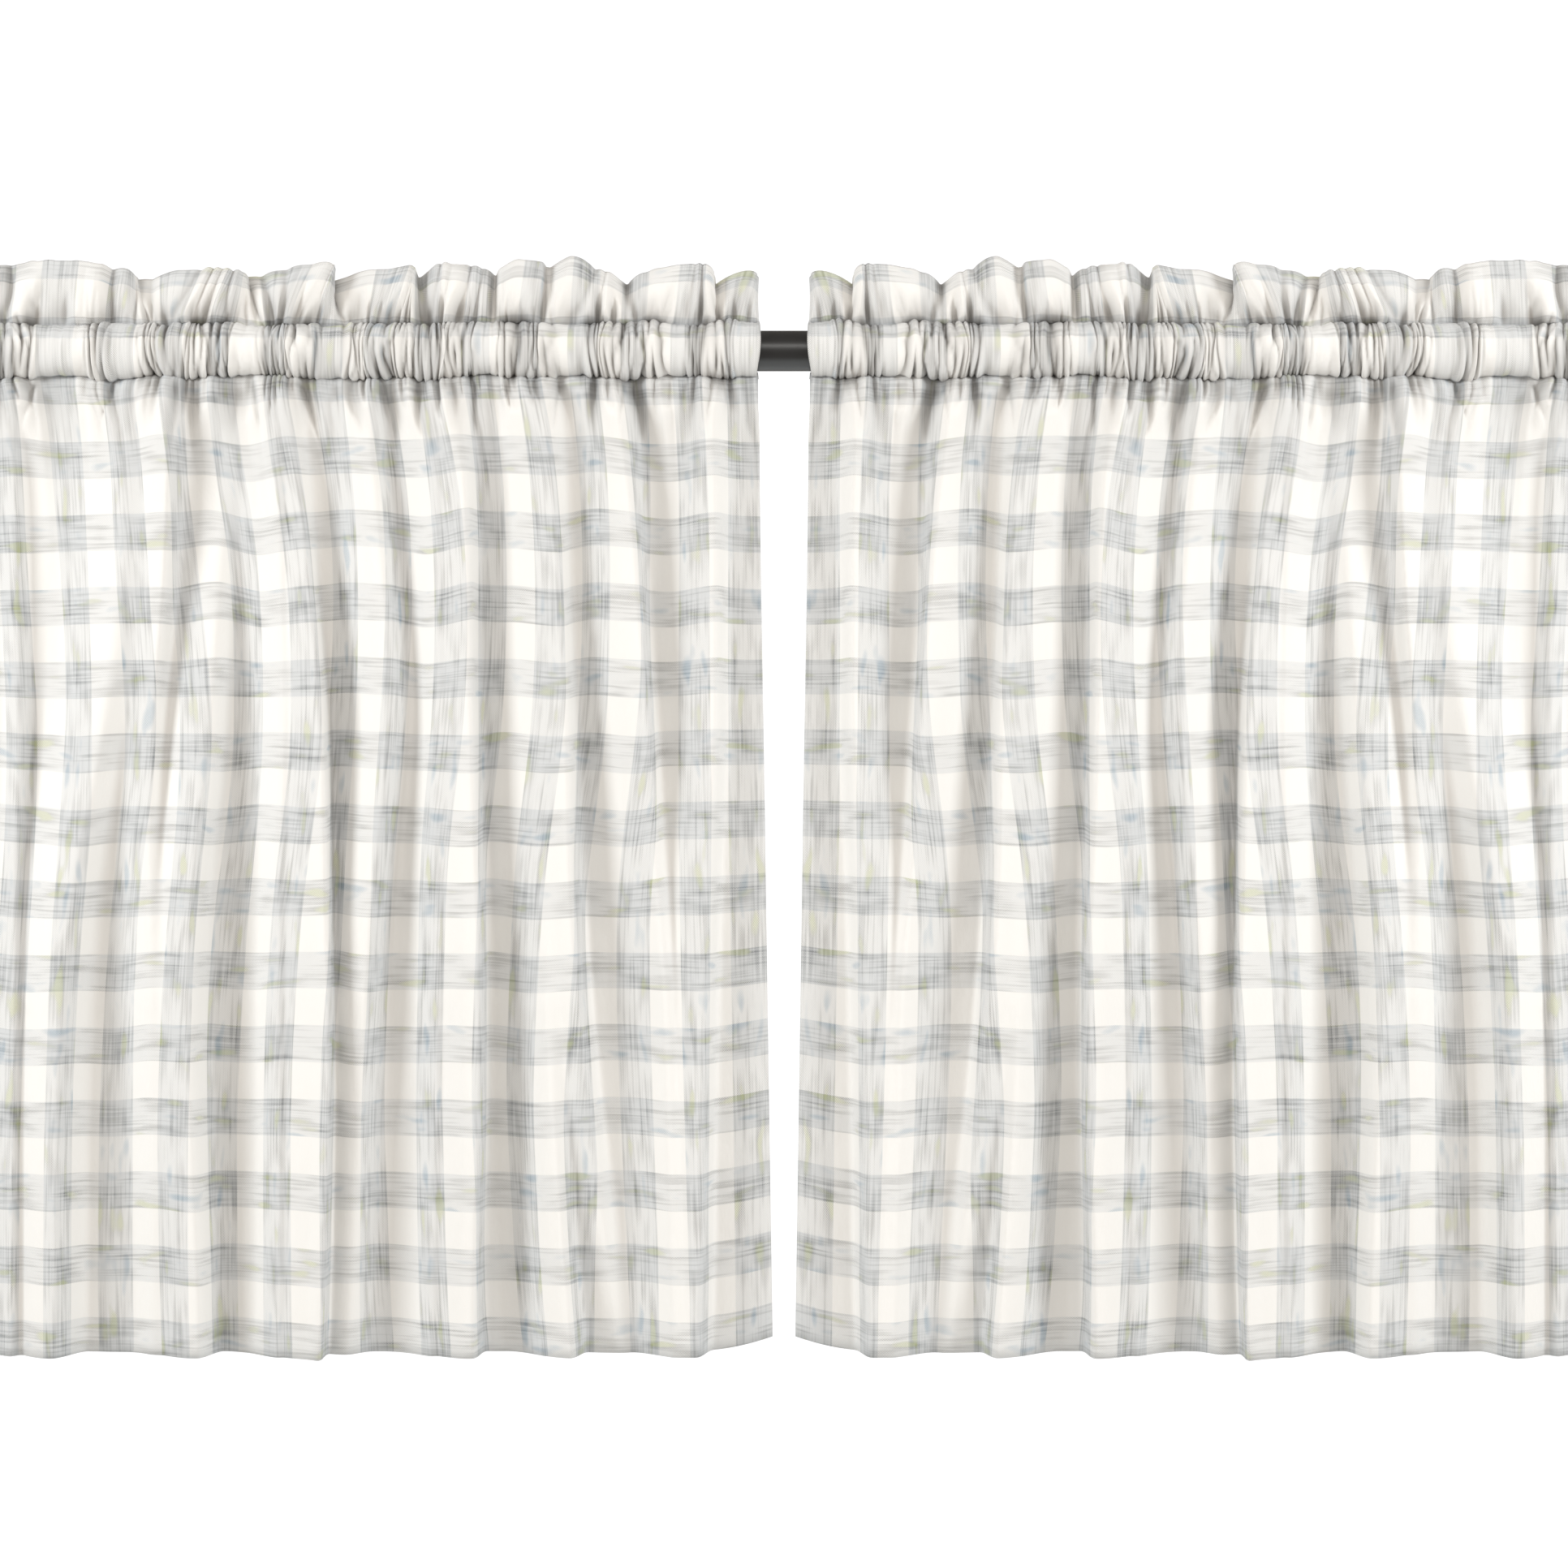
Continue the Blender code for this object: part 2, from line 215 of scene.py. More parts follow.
# Puffs between the creases that run out from each seam
DROP_PUFF = 0.0170
HEADING_PUFF = 0.0150
HEADING_FOLD = 0.0080

# Folds grow out of the gathers below the seam
FOLD_GROWTH = 0.034
SPREAD_FADE = 0.050
PUFF_UNDER_SEAM = 0.0030
PUFF_START = 0.0035
PUFF_PEAK = 0.012
PUFF_END = 0.055
UNEVEN_HANG = 0.0050
HANG_START = 0.02

# Soft crease across the drop, left from the folded cloth
CREASE_LEVEL = -0.447
CREASE_REACH = 0.007
CREASE_DEPTH = 0.0016

CLOTH_SAMPLES = 4000
ROW_SAMPLES = 1600

# Numbers that spin a cell's place into an even spread of values
SPIN = (127.1, 311.7, 74.7, 43758.5453)


def uneven(across, along, seed):
    """Smooth unevenness between -1 and 1, over a plane of unit cells."""
    across, along = np.broadcast_arrays(np.asarray(across, float), np.asarray(along, float))
    left, low = np.floor(across), np.floor(along)
    x, y = across - left, along - low
    x, y = x * x * (3 - 2 * x), y * y * (3 - 2 * y)

    def corner(i, j):
        spun = np.sin(i * SPIN[0] + j * SPIN[1] + seed * SPIN[2]) * SPIN[3]
        return (spun - np.floor(spun)) * 2 - 1

    bottom = corner(left, low) * (1 - x) + corner(left + 1, low) * x
    top = corner(left, low + 1) * (1 - x) + corner(left + 1, low + 1) * x
    return bottom * (1 - y) + top * y


def curve_through(levels, values, at):
    """Smooth curve through a few values, laid out from the highest level to the lowest."""
    spots = -np.array(levels)
    where = np.clip(-at, spots[0], spots[-1])
    slopes = np.gradient(np.array(values, float), spots)
    i = int(np.clip(np.searchsorted(spots, where) - 1, 0, len(spots) - 2))
    step = spots[i + 1] - spots[i]
    t = (where - spots[i]) / step
    rise = values[i + 1] - values[i]
    steady = values[i] + rise * (3 * t ** 2 - 2 * t ** 3)
    return steady + step * (slopes[i] * t * (1 - t) ** 2 - slopes[i + 1] * t ** 2 * (1 - t))


def fold_bump(at, centre, fall, rise):
    """1 on the ridge and 0 in the valleys: steep towards the leading edge, gentle behind it."""
    from_ridge = at - (centre + fall / 2)
    turn = np.where(from_ridge < 0, from_ridge / fall, from_ridge / rise)
    return np.where(np.abs(turn) < 1, 0.5 + 0.5 * np.cos(math.pi * turn), 0.0)


def tightness(at):
    """How tightly the cloth is gathered on the rod: 1 in the bunches, near 0 where it lies smooth."""
    loose = np.zeros_like(at)
    for start, end in SMOOTH_STRETCHES:
        inside = np.minimum(at - start * MM, end * MM - at) / TIGHTNESS_EDGE + 0.5
        loose = np.maximum(loose, np.clip(inside, 0, 1))
    return 1 - loose * SMOOTH_EASING


def share_of_length(along, forward):
    """How far along the cloth each point of a row lies, from 0 to 1."""
    length = np.concatenate(([0.0], np.cumsum(np.hypot(np.diff(along), np.diff(forward)))))
    return length / length[-1]


def gather_phase_table():
    """Count of gathers from the leading edge to each sample of the cloth's width."""
    across = np.linspace(0, CLOTH_WIDTH, CLOTH_SAMPLES)
    pitch = GATHER_PITCH * (1 + 0.55 * uneven(across / 0.019, 0, 3))
    count = np.concatenate(([0.0], np.cumsum(np.diff(across) / pitch[1:])))
    return across, count


ACROSS, GATHER_COUNT = gather_phase_table()


def pocket_positions(across):
    """Distance from the leading edge, on the rod, of each place across the flat cloth."""
    at = np.linspace(0, GATHERED_WIDTH, ROW_SAMPLES)
    fullness = 1.0 + BUNCHED_EXTRA * tightness(at)
    taken = np.concatenate(([0.0], np.cumsum((fullness[1:] + fullness[:-1]) / 2)))
    return np.interp(across / CLOTH_WIDTH, taken / taken[-1], at)


def creases(count, away, shortest, longest, width, seed):
    """Depth, from 0 to 1, of sharp creases that run out from a seam, each to its own length."""
    crease = np.round(count)
    length = shortest + (longest - shortest) * (0.5 + 0.5 * uneven(crease, 0, seed))
    depth = 0.72 + 0.28 * uneven(crease, 1, seed)
    return depth * np.clip(1 - away / length, 0, 1) ** 0.7 * (1 - np.abs(np.sin(math.pi * count)) ** width)


def seam_creases(across, away, layer):
    """Creases below or above a seam: many short ones, fewer long ones, all merged."""
    count = np.interp(across, ACROSS, GATHER_COUNT)
    count = count + layer * 0.5 + 26.0 * away * uneven(across / 0.040, away / 0.03 + layer * 7, 5)
    scale = 1.0 if layer == 0 else 0.8
    short = creases(count, away, 0.010 * scale, 0.034 * scale, 0.9, 31 + layer)
    middle = creases(count / 2.2 + 0.3, away, 0.022 * scale, 0.058 * scale, 1.1, 41 + layer)
    long = creases(count / 4.3 + 0.1, away, 0.034 * scale, 0.095 * scale, 1.2, 51 + layer)
    return 1 - (1 - 0.75 * short) * (1 - middle) * (1 - long)


def seam_painted_shade(at, away, seed):
    """Painted shade in the groove along a seam, from 0 to 1, darker where the cloth is bunched."""
    patchy = np.clip(0.40 + 0.90 * uneven(at / 0.0095, 0, seed), 0, 1)
    reach = 0.0030 + 0.0095 * patchy ** 2
    groove = np.exp(-(away / reach) ** 1.7) * (0.18 + 0.82 * patchy)
    return groove * (0.20 + 0.80 * tightness(at))


def seam_wobble(at, end):
    """How far a seam lies off its straight line, mostly away from the rod. End is -1 for the lower
    seam and 1 for the upper one."""
    seed = 66 + 5 * end
    swing = uneven(at / 0.023, 0, seed) + 0.5 * uneven(at / 0.009, 0, seed + 1)
    return SEAM_WOBBLE * (swing + end * np.maximum(end * swing, 0))


def bell(away, peak):
    """0 at the stitches, 1 at the peak, and fading beyond it."""
    return away / peak * math.exp(1 - away / peak)


def drop(across, level):
    """A row of the drop: distance from the leading edge, forward, height, and painted shade."""
    down = (LOWER_SEAM - level) / DROP_LENGTH
    flare = FLARE_AT_HEM * down
    at = np.linspace(-flare, GATHERED_WIDTH + flare, ROW_SAMPLES)
    forward = np.zeros(ROW_SAMPLES)
    lean = np.zeros(ROW_SAMPLES)
    for row in FOLDS:
        fold = dict(zip(FOLD_FIELDS, row))
        centre = curve_through(FOLD_LEVELS, [fold[key] for key in ("x1", "x2", "x3", "x4")], level)
        depth = curve_through(FOLD_LEVELS, [fold[key] for key in ("d1", "d2", "d3", "d4")], level)
        wander = FOLD_WANDER * uneven(level / 0.09, centre * 0.01, 7)
        bump = max(depth, 0.0) * MM * fold_bump(at, (centre + wander) * MM, fold["fall"] * MM,
                                                fold["rise"] * MM)
        forward += bump
        lean += bump * fold["lean"]
    forward -= (forward.max() + forward.min()) / 2
    for deep, wide, tall, seed in DROP_RIPPLES:
        forward += deep * MM * uneven(at / wide, level / tall, seed)
    below_seam = max(0.0, LOWER_SEAM - level)
    growth = 1 - math.exp(-below_seam / FOLD_GROWTH)
    at = at - lean * growth
    forward = forward * growth
    share = share_of_length(at, forward)
    along = np.interp(across / CLOTH_WIDTH, share, at)
    forward = np.interp(across / CLOTH_WIDTH, share, forward)
    on_rod = pocket_positions(across)
    along = along + (on_rod - along) * math.exp(-below_seam / SPREAD_FADE)
    puff = (1 - math.exp(-below_seam / PUFF_START)) * math.exp(-(below_seam / PUFF_END) ** 1.5)
    puff = puff * (0.5 + 0.5 * tightness(on_rod))
    crease = seam_creases(across, below_seam, 0)
    forward = forward + DROP_PUFF * puff * (1 - crease)
    # Painted shade: darker in the creases between the puffs and in the groove along the seam
    shade = np.maximum(puff * crease, seam_painted_shade(on_rod, below_seam, 81))
    forward = forward + PUFF_UNDER_SEAM * bell(below_seam, PUFF_PEAK)
    across_crease = math.exp(-((level - CREASE_LEVEL) / CREASE_REACH) ** 2)
    forward = forward + CREASE_DEPTH * across_crease * (0.55 + 0.45 * uneven(across / 0.05, 0, 41))
    for place, length, depth, half, slant in TUCKS:
        reach = below_seam / (length * MM)
        if reach >= 1:
            continue
        width = half * MM * (1.05 - reach)
        off = np.abs(along - (place + slant * reach) * MM) / width
        tuck = min(1.0, reach * 5) * (1 - reach) * np.clip(1 - off, 0, 1) ** 1.3
        forward = forward - depth * MM * tuck
        # Painted shade in each tuck
        shade = np.maximum(shade, tuck)
    corner = np.clip(1 - (along + FLARE_AT_HEM) / HEM_CORNER_REACH, 0, 1)
    height = level + (HEM_CORNER_LIFT * corner ** 2 - HEM_SETTLE) * down ** 2
    uneven_hang = UNEVEN_HANG * (1 - down) ** 0.7 * (1 - math.exp(-below_seam / HANG_START))
    height = height + uneven_hang * uneven(across / 0.042, level / 0.16, 43)
    height = height + seam_wobble(on_rod, -1) * math.exp(-below_seam / WOBBLE_FADE)
    return along, forward, height, shade


def pocket(across, turn, face):
    """A row of the pocket: turn runs from 0 at the lower seam to pi at the upper one."""
    at = pocket_positions(across)
    tight = tightness(at)
    from_low, from_up = turn / math.pi, 1 - turn / math.pi
    count = np.interp(across, ACROSS, GATHER_COUNT)
    bend = uneven(across / 0.026, turn * 0.8 + face * 4, 5)
    low = creases(count + 1.5 * from_low * bend, from_low, 0.30, 1.25, 0.62, 13 + face)
    up = creases(count + 0.5 - 1.5 * from_up * bend, from_up, 0.30, 1.25, 0.62, 17 + face)
    between = count * 1.6 + 0.2 + 0.8 * bend * (from_low - 0.5)
    middle = 0.5 + 0.35 * uneven(np.round(between), 2, 23)
    short = creases(between, np.abs(from_low - middle), 0.12, 0.55, 0.75, 27 + face)
    ridge = (1 - low) * (1 - up) * (1 - 0.8 * short) * (0.85 + 0.15 * uneven(count * 0.8, turn, 18))
    rounded = math.sin(turn) ** 0.4
    opened = GATHER_AT_SEAM + (GATHER_BULGE - GATHER_AT_SEAM) * rounded
    pleated = (0.15 + 0.85 * tight) * opened * ridge
    loose = LOOSE_PUFF * (1 - tight) * rounded * (1 + 0.3 * uneven(at / 0.015, turn, 17))
    bulge = pleated + loose
    lean = 0.9 * uneven(count * 0.6, turn * 0.6 + face, 19)
    reach = ROD_RADIUS + POCKET_CLEARANCE + CLOTH_THICKNESS + bulge
    reach = reach + (1.2 * MM) * abs(math.cos(turn)) ** 8
    sag = POCKET_SAG * bulge * (1 + 0.6 * uneven(count * 0.5, face, 20))
    sag = sag * abs(math.sin(turn)) ** 0.3 * math.cos(turn) * (1.0 if turn < math.pi / 2 else 0.6)
    wobble = seam_wobble(at, -1) * from_up ** 2 + seam_wobble(at, 1) * from_low ** 2
    height = wobble - reach * math.cos(turn) - sag
    # Painted shade between the gathers where the cloth is bunched, and along both seams
    shade = np.maximum(1.25 * (1 - ridge) * tight, seam_painted_shade(at, from_low * POCKET_LENGTH, 81))
    shade = np.maximum(shade, seam_painted_shade(at, from_up * POCKET_LENGTH, 82))
    return at - lean * pleated, face * reach * math.sin(turn), height, shade


def smoothed(values, reach):
    """Values along the heading, evened out over a short reach to each side."""
    half = max(1, int(round(reach / GATHERED_WIDTH * ROW_SAMPLES)))
    weights = np.hanning(2 * half + 3)[1:-1]
    return np.convolve(np.pad(values, half, mode="edge"), weights / weights.sum(), "valid")


def lobes(at, spots, values):
    """Curve through the values, round over each high one and sharp in each low one."""
    i = np.clip(np.searchsorted(spots, at) - 1, 0, len(spots) - 2)
    turn = (at - spots[i]) / (spots[i + 1] - spots[i])
    low, high = np.minimum(values[i], values[i + 1]), np.maximum(values[i], values[i + 1])
    from_low = np.where(values[i + 1] > values[i], turn, 1 - turn)
    curve = low + (high - low) * np.sin(math.pi / 2 * np.clip(from_low, 0, 1)) ** LOBE_ROUNDNESS
    return smoothed(curve, WAVE_EASING)


def heading(across, share, face):
    """A row of the heading: share runs from 0 at the upper seam to 1 at the top fold."""
    table = np.array(HEADING_WAVES, float) * MM
    spots = np.linspace(0, GATHERED_WIDTH, ROW_SAMPLES)
    wave = lobes(spots, table[:, 0], table[:, 2])
    top = lobes(spots, table[:, 0], table[:, 1])
    lean = WAVE_LEAN * (0.6 + 1.0 * uneven(spots / 0.05, 0, 47))
    at_seam = pocket_positions(across)
    shift = np.interp(across / CLOTH_WIDTH, share_of_length(spots, wave), spots) - at_seam
    order = np.argsort(across, kind="stable")
    far = np.interp(spots, at_seam[order], shift[order])
    shift = shift - 0.8 * np.interp(at_seam, spots, smoothed(far, 0.055))
    at = np.clip(at_seam + shift * share ** 0.7, 0, GATHERED_WIDTH)
    lean = np.interp(at, spots, lean)
    wave = np.interp(at, spots, wave)
    top = np.interp(at, spots, top)
    away = share * HEADING_LENGTH
    puff = (1 - math.exp(-away / 0.003)) * math.exp(-(away / 0.034) ** 2)
    puff = HEADING_PUFF * puff * (0.35 + 0.65 * tightness(at_seam))
    crease = seam_creases(across, away, 1 if face > 0 else 2)
    ripple = puff * (1 - crease) * (0.85 + 0.30 * uneven(across / 0.013, share * 1.5, 37))
    apart = (0.4 + 1.6 * math.sin(math.pi * share ** 0.7)) * MM * math.sqrt(max(0.0, 1 - share ** 6))
    loose = 0.6 * MM * uneven(at / 0.02, share * 2 + face, 23) * math.sin(math.pi * share)
    bend = 0.9 * share * uneven(across / 0.04, 0, 33)
    count = np.interp(across, ACROSS, GATHER_COUNT) / 1.9 + 0.3 + bend
    fold = creases(count, share, 0.45, 2.0, 1.0, 35) * (1 - math.exp(-away / 0.005))
    ripple = ripple * math.sqrt(max(0.0, 1 - share ** 8))
    forward = wave * share ** 0.65 - HEADING_FOLD * fold + ripple + loose + face * apart
    if face < 0:
        forward = forward - ripple * 1.9
    height = UPPER_SEAM + (top - UPPER_SEAM) * share + 0.5 * MM * uneven(at / 0.006, share, 29) * share
    slack = seam_wobble(at_seam, 1) * (1 - share) ** 2
    height = height + slack - 0.4 * HEADING_FOLD * fold * share
    # Painted shade in the deep valleys of the top edge, in the creases and folds, and along the seam
    valley_shade = np.clip(-wave / (11 * MM), 0, 1) ** 2 * (0.35 + 0.65 * share) * 0.8
    shade = np.maximum(crease * puff / HEADING_PUFF, seam_painted_shade(at_seam, away, 82))
    shade = np.maximum(shade, fold * (0.9 - 0.4 * share))
    return at - lean * wave * share ** 1.3, forward, height, np.maximum(shade, valley_shade)


def hang_row(across, length):
    """Where a row of the flat cloth hangs: distance from the leading edge, forward, and height, and
    how much painted shade each of its points gets in the creases, from 0 to 1."""
    if length < DROP_LENGTH:
        tuck = SEAM_TUCK * max(0.0, 1 - (DROP_LENGTH - length) / SEAM_TUCK)
        return drop(across, HEM_LEVEL + length + tuck)
    past = max(0.0, length - DROP_LENGTH)
    if past <= POCKET_LENGTH:
        return pocket(across, math.pi * past / POCKET_LENGTH, 1)
    past -= POCKET_LENGTH
    if past <= HEADING_LENGTH:
        return heading(across, past / HEADING_LENGTH, 1)
    past -= HEADING_LENGTH
    if past <= HEADING_LENGTH:
        return heading(across, 1 - past / HEADING_LENGTH, -1)
    past -= HEADING_LENGTH
    turn = math.pi * max(0.0, 1 - past / POCKET_LENGTH)
    along, forward, height, shade = pocket(across, turn, -1)
    return along, forward - 0.0008, height, shade


def hang(across, lengths, side):
    """Points of the flat cloth in the curtain's place, and how much painted shade each gets in the
    creases. Side is -1 for the left curtain."""
    points = np.empty((len(across), 3))
    shades = np.empty(len(across))
    for length in np.unique(lengths):
        row = lengths == length
        along, forward, height, shades[row] = hang_row(across[row], float(length))
        points[row, 0] = ROD_LENGTH / 2 + side * (GAP_AT_ROD / 2 + along)
        points[row, 1] = -forward
        points[row, 2] = height
    return points, shades


def deselect():
    bpy.ops.object.select_all(action="DESELECT")


def mesh_points(data):
    points = np.empty(len(data.vertices) * 3)
    data.vertices.foreach_get("co", points)
    return points.reshape(-1, 3)


def lay_out_cloth(name, grid):
    """A length of the flat cloth, with closer rows where it is gathered."""
    columns, start, stretches = grid
    rows = sum(stretch[0] for stretch in stretches)
    deselect()
    bpy.ops.mesh.primitive_grid_add(x_subdivisions=columns, y_subdivisions=rows, size=1)
    cloth = bpy.context.object
    cloth.name = name
    cloth.data.name = name
    points = mesh_points(cloth.data)
    row_ends = np.concatenate(([0], np.cumsum([stretch[0] for stretch in stretches])))
    length_ends = start + np.concatenate(([0.0], np.cumsum([stretch[1] for stretch in stretches])))
    across = (points[:, 0] + 0.5) * CLOTH_WIDTH
    row = np.round((points[:, 1] + 0.5) * rows)
    lengths = np.round(np.interp(row, row_ends, length_ends), 7)
    return cloth, np.clip(across, 0, CLOTH_WIDTH), lengths


def write_flat_map(cloth, across, lengths):
    """The cloth's own map holds its flat place in metres, which the weave follows."""
    corners = np.empty(len(cloth.data.loops), np.int64)
    cloth.data.loops.foreach_get("vertex_index", corners)
    flat = np.stack([across[corners], lengths[corners]], axis=1)
    cloth.data.uv_layers.active.name = "flat cloth"
    cloth.data.uv_layers.active.data.foreach_set("uv", flat.astype(np.float32).ravel())


def make_cloth(name, side, grid, material):
    cloth, across, lengths = lay_out_cloth(name, grid)
    write_flat_map(cloth, across, lengths)
    points, shades = hang(across, lengths, side)
    cloth.data.vertices.foreach_set("co", points.ravel())
    # Painted shade in the creases and along the seams, kept on each point for the material to darken the
    # cloth's colour
    painted_crease_shade = cloth.data.attributes.new("painted_crease_shade", "FLOAT", "POINT")
    painted_crease_shade.data.foreach_set("value", np.clip(shades, 0, 1).astype(np.float32))
    cloth.data.update()
    if side < 0:
        bpy.ops.object.mode_set(mode="EDIT")
        bpy.ops.mesh.select_all(action="SELECT")
        bpy.ops.mesh.flip_normals()
        bpy.ops.object.mode_set(mode="OBJECT")
    in_hem = (lengths < BOTTOM_HEM) | (across < SIDE_HEM) | (across > CLOTH_WIDTH - SIDE_HEM)
    doubled = cloth.vertex_groups.new(name="cloth and hems")
    doubled.add(np.flatnonzero(in_hem).tolist(), 1.0, "REPLACE")
    doubled.add(np.flatnonzero(~in_hem).tolist(), CLOTH_THICKNESS / HEM_THICKNESS, "REPLACE")
    solid = cloth.modifiers.new("thickness", "SOLIDIFY")
    solid.thickness = HEM_THICKNESS
    solid.offset = -1
    solid.vertex_group = doubled.name
    bpy.context.view_layer.objects.active = cloth
    cloth.select_set(True)
    bpy.ops.object.modifier_apply(modifier=solid.name)
    bpy.ops.object.shade_smooth()
    cloth.data.materials.clear()
    cloth.data.materials.append(material)
    return cloth


def node(tree, kind, place=(0, 0), **settings):
    made = tree.nodes.new(kind)
    made.location = place
    for key, value in settings.items():
        setattr(made, key, value)
    return made


def sums(tree, operation, first, second=None, clamp=False):
    """A Math node; each input is a socket or a number."""
    made = node(tree, "ShaderNodeMath", operation=operation, use_clamp=clamp)
    for i, value in enumerate((first, second)):
        if value is None:
            continue
        if isinstance(value, (int, float)):
            made.inputs[i].default_value = value
        else:
            tree.links.new(value, made.inputs[i])
    return made.outputs[0]


def mixed(tree, factor, first, second, blend="MIX"):
    """A colour Mix node; factor, first and second are sockets, numbers or colours."""
    made = node(tree, "ShaderNodeMix", data_type="RGBA", blend_type=blend)
    for socket, value in ((made.inputs[0], factor), (made.inputs[6], first), (made.inputs[7], second)):
        if hasattr(value, "node"):
            tree.links.new(value, socket)
        else:
            socket.default_value = value
    return made.outputs[2]


def stretched_noise(tree, across, along, per_metre_across, per_metre_along, detail=2.0):
    """Noise over the flat cloth, stretched by its own scale each way."""
    place = node(tree, "ShaderNodeCombineXYZ")
    tree.links.new(sums(tree, "MULTIPLY", across, per_metre_across), place.inputs[0])
    tree.links.new(sums(tree, "MULTIPLY", along, per_metre_along), place.inputs[1])
    made = node(tree, "ShaderNodeTexNoise")
    made.inputs["Scale"].default_value = 1.0
    made.inputs["Detail"].default_value = detail
    tree.links.new(place.outputs[0], made.inputs["Vector"])
    return made.outputs["Fac"]


CHECK_REPEAT = 0.0508
YARN_PITCH = 0.00058
CREAM = (0.740, 0.729, 0.706, 1.0)
PALE_GREY = (0.550, 0.561, 0.566, 1.0)
DARK_GREY = (0.110, 0.119, 0.126, 1.0)
SLATE = (0.250, 0.330, 0.400, 1.0)
SAGE = (0.370, 0.400, 0.220, 1.0)
# Painted shade: how far the cloth's colour is darkened in the creases and along the seams, how sharply it
# falls off, and the near-black it darkens towards
CREASE_SHADE = 0.92
CREASE_FALLOFF = 1.6
PAINTED_SHADE_COLOUR = (0.085, 0.078, 0.069, 1.0)

# Unevenness of the dark yarns: cells per metre across them and along them, and what each adds to
# the tone, from dark to pale
STREAKS = (620.0, 16.0)
PATCHES = (95.0, 26.0)
STREAK_TONE = 2.3
PATCH_TONE = 2.2
TONE_START = 1.36


def band(tree, place, offset=0.0):
    """1 inside the dark bands of the check and 0 between them, with a thread's width of softness."""
    turn = sums(tree, "MULTIPLY_ADD", place, 2 * math.pi / CHECK_REPEAT)
    turn.node.inputs[2].default_value = offset
    wave = sums(tree, "SINE", turn)
    return sums(tree, "ADD", sums(tree, "MULTIPLY", wave, 14.0), 0.5, clamp=True)


def yarn_colour(tree, place, other, seed, start):
    """Colour of the yarns of one direction: place is across the yarns, other is along them."""
    streak = stretched_noise(tree, sums(tree, "ADD", place, seed), other, *STREAKS, 1.0)
    patch = stretched_noise(tree, sums(tree, "ADD", place, seed), other, *PATCHES, 1.0)
    tone = sums(tree, "ADD", sums(tree, "MULTIPLY", streak, STREAK_TONE),
                sums(tree, "MULTIPLY", patch, PATCH_TONE))
    tone = sums(tree, "SUBTRACT", tone, TONE_START)
    dark = mixed(tree, tone, DARK_GREY, PALE_GREY)
    slate = sums(tree, "MULTIPLY", sums(tree, "SUBTRACT", patch, 0.655), 10.0, clamp=True)
    sage = sums(tree, "MULTIPLY", sums(tree, "SUBTRACT", 0.355, patch), 12.0, clamp=True)
    dark = mixed(tree, slate, dark, SLATE)
    dark = mixed(tree, sage, dark, SAGE)
    return mixed(tree, band(tree, place, start), CREAM, dark)


def gingham_cotton():
    """Plain-weave cotton: warp and weft yarns in bands, with slubs, in three tones where they cross."""
    material = bpy.data.materials.new("woven gingham cotton")
    material.use_nodes = True
    tree = material.node_tree
    shader = tree.nodes["Principled BSDF"]
    flat = node(tree, "ShaderNodeUVMap", uv_map="flat cloth")
    place = node(tree, "ShaderNodeSeparateXYZ")
    tree.links.new(flat.outputs[0], place.inputs[0])
    across, along = place.outputs[0], place.outputs[1]
    warp = yarn_colour(tree, across, along, 3.0, 0.0)
    weft = yarn_colour(tree, along, across, 11.0, 0.16)
    over_x = sums(tree, "SINE", sums(tree, "MULTIPLY", across, math.pi / YARN_PITCH))
    over_y = sums(tree, "SINE", sums(tree, "MULTIPLY", along, math.pi / YARN_PITCH))
    crossing = sums(tree, "MULTIPLY", over_x, over_y)
    on_top = sums(tree, "MULTIPLY_ADD", crossing, 1.6, clamp=True)
    on_top.node.inputs[2].default_value = 0.5
    colour = mixed(tree, on_top, weft, warp)
    # Painted shade: the colour is darkened towards near-black in the creases and along the seams
    painted_crease_shade = node(tree, "ShaderNodeAttribute", attribute_name="painted_crease_shade")
    shade = sums(tree, "POWER", painted_crease_shade.outputs["Fac"], CREASE_FALLOFF)
    shade = sums(tree, "MULTIPLY", shade, CREASE_SHADE)
    colour = mixed(tree, shade, colour, PAINTED_SHADE_COLOUR)
    tree.links.new(colour, shader.inputs["Base Color"])
    shader.inputs["Roughness"].default_value = 0.92
    shader.inputs["Specular IOR Level"].default_value = 0.25
    shader.inputs["Sheen Weight"].default_value = 0.12
    shader.inputs["Sheen Roughness"].default_value = 0.5

    crumple = stretched_noise(tree, across, along, 70.0, 45.0, 3.0)
    soft = node(tree, "ShaderNodeBump")
    soft.inputs["Strength"].default_value = 0.5
    soft.inputs["Distance"].default_value = 0.0016
    tree.links.new(crumple, soft.inputs["Height"])
    yarns = sums(tree, "ADD", sums(tree, "ABSOLUTE", over_x), sums(tree, "ABSOLUTE", over_y))
    slub = stretched_noise(tree, across, along, 900.0, 120.0, 0.0)
    height = sums(tree, "ADD", yarns, slub)
    weave = node(tree, "ShaderNodeBump")
    weave.inputs["Strength"].default_value = 0.35
    weave.inputs["Distance"].default_value = 0.00012
    tree.links.new(height, weave.inputs["Height"])
    tree.links.new(soft.outputs[0], weave.inputs["Normal"])
    tree.links.new(weave.outputs[0], shader.inputs["Normal"])
    return material


COAT_ROUGHNESS = 0.28
GRAIN_ROUGHNESS = 0.16


